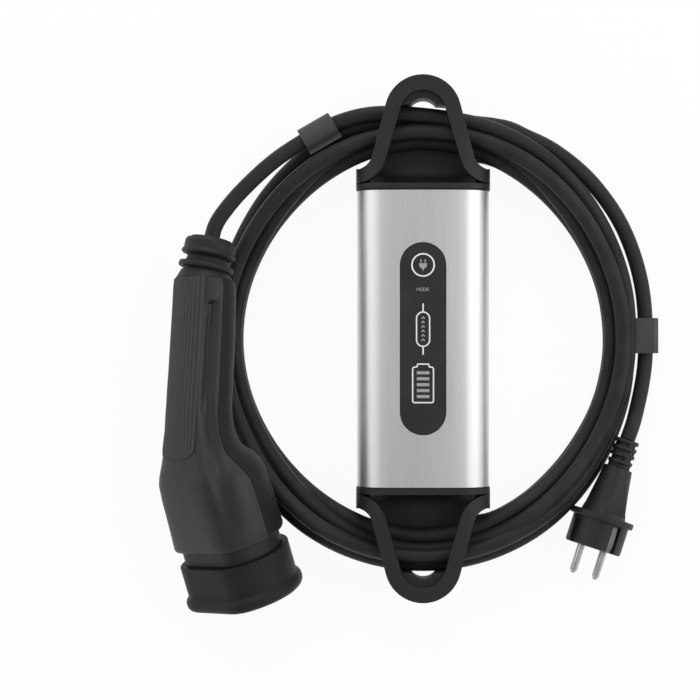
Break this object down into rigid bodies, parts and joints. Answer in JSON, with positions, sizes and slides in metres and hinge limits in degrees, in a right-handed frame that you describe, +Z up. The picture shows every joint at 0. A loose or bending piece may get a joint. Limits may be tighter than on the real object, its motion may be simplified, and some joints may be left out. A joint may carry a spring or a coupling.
{
  "type": "portable electric vehicle charger",
  "caption": "Portable charger for an electric car: control box with a lit panel and a cable loop at each end, leads wound round it, a capped vehicle connector and an earthed mains plug.",
  "frame": {"origin": "bottom centre of the control box with its end caps, on the surface it lies on, without the leads and what is on them", "axes": "+Z up out of the display panel, +Y along the box towards the end that the mains lead leaves, +X across the box"},
  "size_m": [0.3211, 0.3425, 0.0867],
  "materials": {
    "silver_tube": "fine satin anodised",
    "dark_plastic": "fine moulded texture",
    "plug_plastic": "fine moulded texture",
    "soft_rubber": "matte",
    "lead_jacket": "smooth jacket with a soft shine",
    "black_panel": "polished",
    "black_mask": "matte",
    "light_chip": "clear resin",
    "circuit_board": "solder mask",
    "relay_case": "moulded",
    "module_case": "moulded",
    "capacitor_sleeve": "shrink sleeve",
    "terminal_green": "moulded",
    "wire_jacket": "smooth",
    "bright_steel": "nickel plated",
    "screw_steel": "zinc plated",
    "contact_metal": "silver plated"
  },
  "bodies": {
    "charger": {"housing_tube": "silver_tube", "top_cap": "dark_plastic", "bottom_cap": "dark_plastic", "connector_shell": "dark_plastic", "connector_underside": "dark_plastic", "connector_clip": "dark_plastic", "plug_clip": "dark_plastic", "plug_body": "plug_plastic", "contact_carrier": "plug_plastic", "top_seal": "soft_rubber", "bottom_seal": "soft_rubber", "supply_gland": "soft_rubber", "charge_gland": "soft_rubber", "connector_boot": "soft_rubber", "grip_pad": "soft_rubber", "cap_tether": "soft_rubber", "cable_coil": "lead_jacket", "supply_exit": "lead_jacket", "supply_tail": "lead_jacket", "charge_exit": "lead_jacket", "charge_tail": "lead_jacket", "display_panel": "black_panel", "light_mask": "black_mask", "leakage_sensor": "black_mask", "indicator_leds": "light_chip", "display_board": "circuit_board", "main_board": "circuit_board", "power_relays": "relay_case", "supply_module": "module_case", "filter_capacitors": "capacitor_sleeve", "mains_terminal": "terminal_green", "vehicle_terminal": "terminal_green", "mains_wires": "wire_jacket", "vehicle_wires": "wire_jacket", "plug_pins": "bright_steel", "plug_earth_strips": "bright_steel", "cap_screws": "screw_steel", "display_posts": "screw_steel", "power_contacts": "contact_metal", "signal_contacts": "contact_metal"},
    "protective_cap": {"connector_cap": "dark_plastic"}
  },
  "joints": [
    {"name": "cap_pull", "type": "slide", "parent": "charger", "child": "protective_cap", "axis": [0.2541, -0.9482, -0.1908], "range_m": [0, 0.026], "deforming": ["cap_tether"]}
  ]
}
